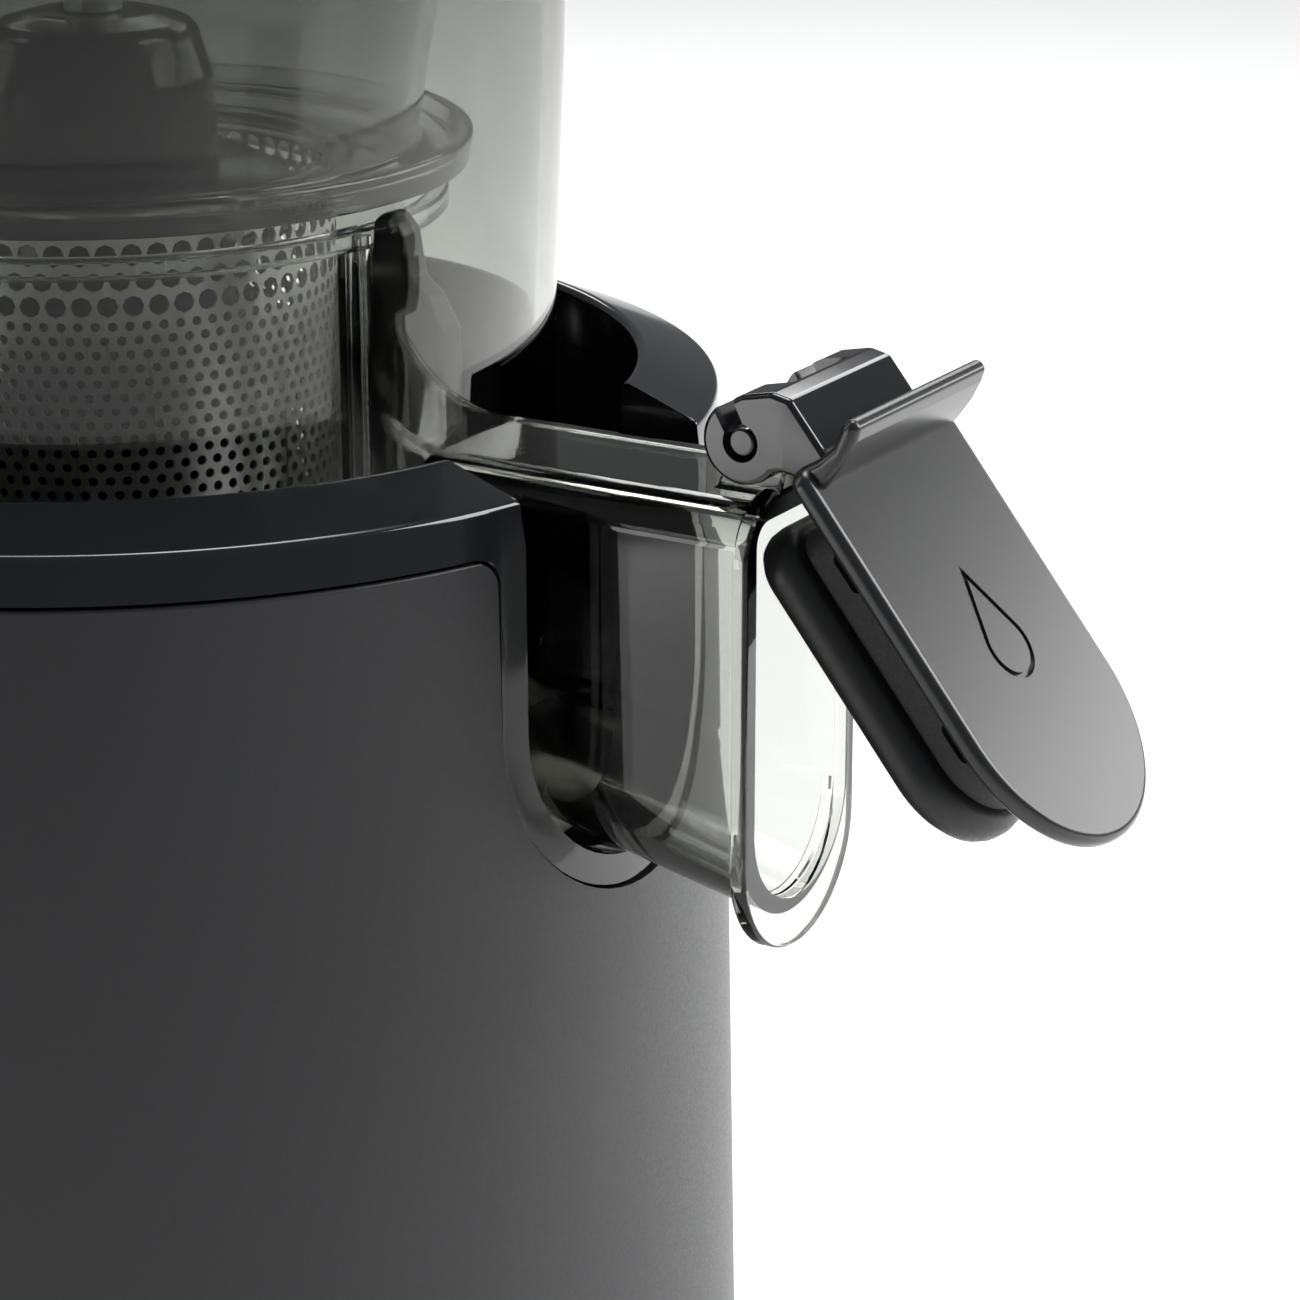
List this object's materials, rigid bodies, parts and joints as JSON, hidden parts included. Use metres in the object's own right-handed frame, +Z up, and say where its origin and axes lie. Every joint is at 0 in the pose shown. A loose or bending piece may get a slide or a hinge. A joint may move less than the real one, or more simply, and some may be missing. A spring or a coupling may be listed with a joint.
{
  "type": "slow juicer",
  "caption": "Upright slow juicer with a round motor base, a clear smoke-grey bowl, a hinged cap on its juice spout, a screen with a turning brush, an auger and a feed hopper.",
  "frame": {"origin": "centre of the footprint box, on the plane the feet rest on; the bowl's axis is 21.4 mm behind it", "axes": "+Z up along the bowl's axis, -Y towards the juice spout, +Y towards the pulp outlet and the power inlet"},
  "size_m": [0.1858, 0.2847, 0.422],
  "materials": {
    "matte_charcoal": "fine matt grain",
    "gloss_black": "polished",
    "smoke_clear": "clear smoke-grey plastic, polished",
    "silicone_black": "soft matt",
    "rubber_black": "matt",
    "steel": "satin",
    "zinc": "zinc plated",
    "nylon": "moulded",
    "board": "lacquered",
    "auger_black": "polished",
    "rotor_iron": "laminated iron and copper"
  },
  "bodies": {
    "base": {"housing": "matte_charcoal", "collar": "gloss_black", "deck": "gloss_black", "bottom_cover": "matte_charcoal", "foot_front_left": "rubber_black", "foot_front_right": "rubber_black", "foot_rear_left": "rubber_black", "foot_rear_right": "rubber_black", "cover_screw_1": "zinc", "cover_screw_2": "zinc", "cover_screw_3": "zinc", "cover_screw_4": "zinc", "power_inlet": "gloss_black", "motor_can": "zinc", "motor_bracket": "zinc", "gearbox_case": "nylon", "gear_pin": "steel", "shaft_bearing": "steel", "shaft_seal": "silicone_black", "circuit_board": "board", "control_switch": "nylon"},
    "rotor": {"motor_rotor": "rotor_iron", "motor_fan": "nylon", "motor_pinion": "steel"},
    "reduction": {"reduction_gear": "nylon"},
    "drive": {"output_gear": "steel", "drive_shaft": "steel"},
    "knob": {"control_knob": "gloss_black"},
    "bowl": {"bowl": "smoke_clear", "juice_spout": "smoke_clear", "hinge_pin": "gloss_black", "pulp_outlet": "smoke_clear", "pulp_packing": "silicone_black", "bowl_gasket": "silicone_black", "strainer_screen": "steel", "strainer_cup": "smoke_clear", "strainer_base": "gloss_black"},
    "idler": {"brush_idler": "nylon"},
    "brush": {"brush_frame": "smoke_clear", "brush_wiper_1": "silicone_black", "brush_wiper_2": "silicone_black", "brush_wiper_3": "silicone_black"},
    "auger": {"auger": "auger_black", "auger_pin": "steel"},
    "cap": {"cap_plate": "gloss_black", "cap_plug": "rubber_black", "cap_seal": "silicone_black"},
    "hopper": {"hopper": "smoke_clear", "auger_bridge": "gloss_black"},
    "pusher": {"pusher": "matte_charcoal", "pusher_knob": "gloss_black"}
  },
  "joints": [
    {"name": "rotor_spin", "type": "hinge", "parent": "base", "child": "rotor", "pos_m": [0, 0.00765, 0.07], "axis": [0, 0, 1], "continuous": true},
    {"name": "reduction_spin", "type": "hinge", "parent": "base", "child": "reduction", "pos_m": [0, -0.0236, 0.12], "axis": [0, 0, 1], "continuous": true},
    {"name": "drive_spin", "type": "hinge", "parent": "base", "child": "drive", "pos_m": [0, 0.0214, 0.15], "axis": [0, 0, 1], "continuous": true},
    {"name": "knob_turn", "type": "hinge", "parent": "base", "child": "knob", "pos_m": [0, 0.1114, 0.125], "axis": [0, 1, 0], "range_deg": [-45, 45]},
    {"name": "bowl_lift", "type": "slide", "parent": "base", "child": "bowl", "axis": [0, 0, 1], "range_m": [0, 0.12]},
    {"name": "auger_spin", "type": "hinge", "parent": "bowl", "child": "auger", "pos_m": [0, 0.0214, 0.22], "axis": [0, 0, 1], "continuous": true},
    {"name": "idler_spin", "type": "hinge", "parent": "bowl", "child": "idler", "pos_m": [0.018, 0.0214, 0.175], "axis": [0, 0, 1], "continuous": true},
    {"name": "brush_spin", "type": "hinge", "parent": "bowl", "child": "brush", "pos_m": [0, 0.0214, 0.2], "axis": [0, 0, 1], "continuous": true},
    {"name": "cap_hinge", "type": "hinge", "parent": "bowl", "child": "cap", "pos_m": [0, -0.0922, 0.2165], "axis": [-1, 0, 0], "range_deg": [-38, 75]},
    {"name": "hopper_lift", "type": "slide", "parent": "bowl", "child": "hopper", "axis": [0, 0, 1], "range_m": [0, 0.14]},
    {"name": "pusher_slide", "type": "slide", "parent": "hopper", "child": "pusher", "axis": [0, 0, 1], "range_m": [0, 0.09]}
  ],
  "couplings": [
    {"joint": "reduction_spin", "follows": "rotor_spin", "ratio": -0.25},
    {"joint": "drive_spin", "follows": "rotor_spin", "ratio": 0.0625},
    {"joint": "auger_spin", "follows": "rotor_spin", "ratio": 0.0625},
    {"joint": "idler_spin", "follows": "rotor_spin", "ratio": -0.125},
    {"joint": "brush_spin", "follows": "rotor_spin", "ratio": -0.03125}
  ]
}
